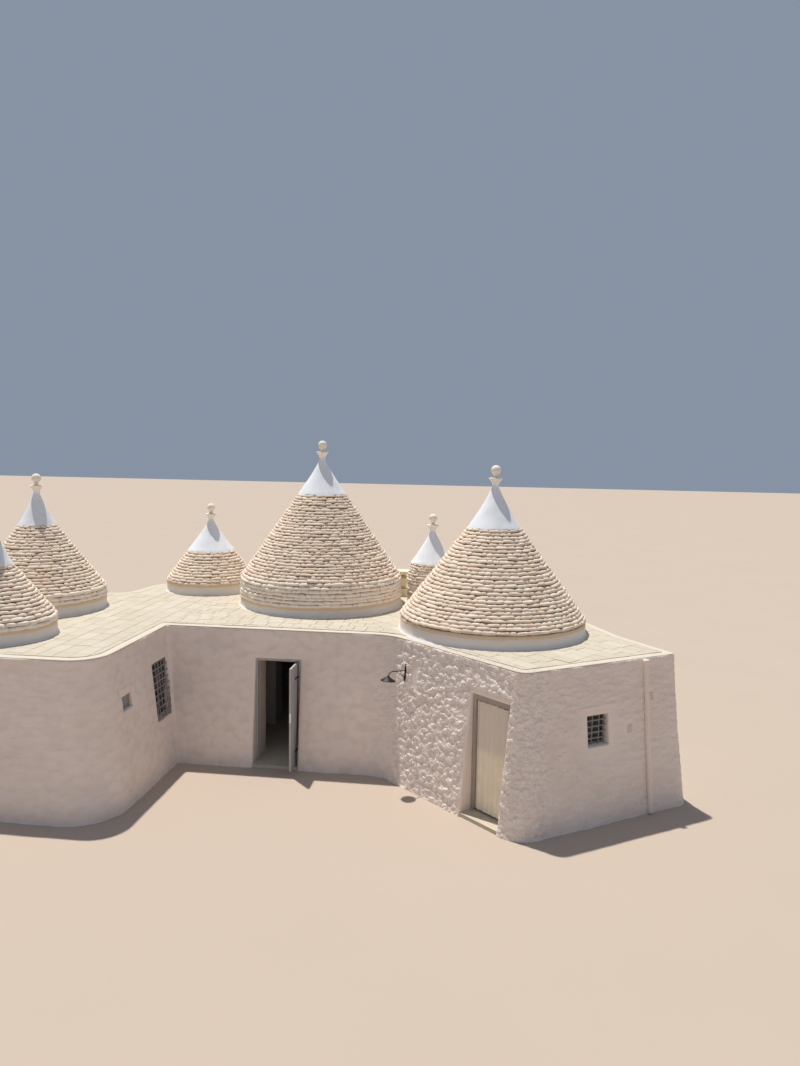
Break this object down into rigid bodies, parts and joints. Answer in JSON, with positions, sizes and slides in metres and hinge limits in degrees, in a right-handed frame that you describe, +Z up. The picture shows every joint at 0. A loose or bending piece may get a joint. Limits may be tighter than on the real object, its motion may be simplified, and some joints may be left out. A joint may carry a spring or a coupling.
{
  "type": "trullo house",
  "caption": "Whitewashed stone trullo house round a court corner, with conical dry stone roofs, plastered pinnacles, flat terraces and a hinged door leaf.",
  "frame": {"origin": "on the ground, on the axis of the main cone, at the underside of the floor", "axes": "+X to the right along the door wall, -Y out of the door wall into the court, +Z up"},
  "size_m": [14.4609, 8.4825, 6.0698],
  "materials": {
    "whitewash": "uneven lime plaster, limewashed white",
    "limestone": "rough flat limestone, cream",
    "paving": "sawn stone slabs, cream",
    "grey_wood": "weathered, painted grey",
    "linen": "plain cream cloth",
    "glass": "clear window glass, dark inside",
    "tufa": "soft porous stone, yellow cream",
    "black_iron": "painted black, matt"
  },
  "bodies": {
    "house": {"floor": "paving", "entrance_pier": "whitewash", "wing_front_wall": "whitewash", "wing_side_wall": "whitewash", "court_window_wall": "whitewash", "door_wall_left": "whitewash", "door_lintel": "whitewash", "door_wall_right": "whitewash", "curtain_door_lintel": "whitewash", "front_corner_wall": "whitewash", "window_wall": "whitewash", "right_corner_wall": "whitewash", "right_back_wall": "whitewash", "back_wall_right": "whitewash", "back_wall_left": "whitewash", "left_wall": "whitewash", "roof_right": "paving", "roof_centre": "paving", "roof_left": "paving", "main_dome": "whitewash", "main_stones": "limestone", "main_cap": "whitewash", "right_dome": "whitewash", "right_stones": "limestone", "right_cap": "whitewash", "small_dome": "whitewash", "small_stones": "limestone", "small_cap": "whitewash", "rear_dome": "whitewash", "rear_stones": "limestone", "rear_cap": "whitewash", "left_dome": "whitewash", "left_stones": "limestone", "left_cap": "whitewash", "wing_dome": "whitewash", "wing_stones": "limestone", "wing_cap": "whitewash", "door_frame": "grey_wood", "curtain_frame": "grey_wood", "door_curtain": "linen", "front_window": "grey_wood", "court_window": "grey_wood", "window_panes": "glass", "hatch_shutter": "grey_wood", "chimney": "tufa", "downpipe": "whitewash", "wall_lamp": "black_iron", "vent_plates": "whitewash"},
    "door_leaf": {"door_leaf": "grey_wood"}
  },
  "joints": [
    {"name": "leaf_hinge", "type": "hinge", "parent": "house", "child": "door_leaf", "pos_m": [0.21, -2.8426, 1.04], "axis": [0, 0, -1], "range_deg": [0, 90]}
  ]
}
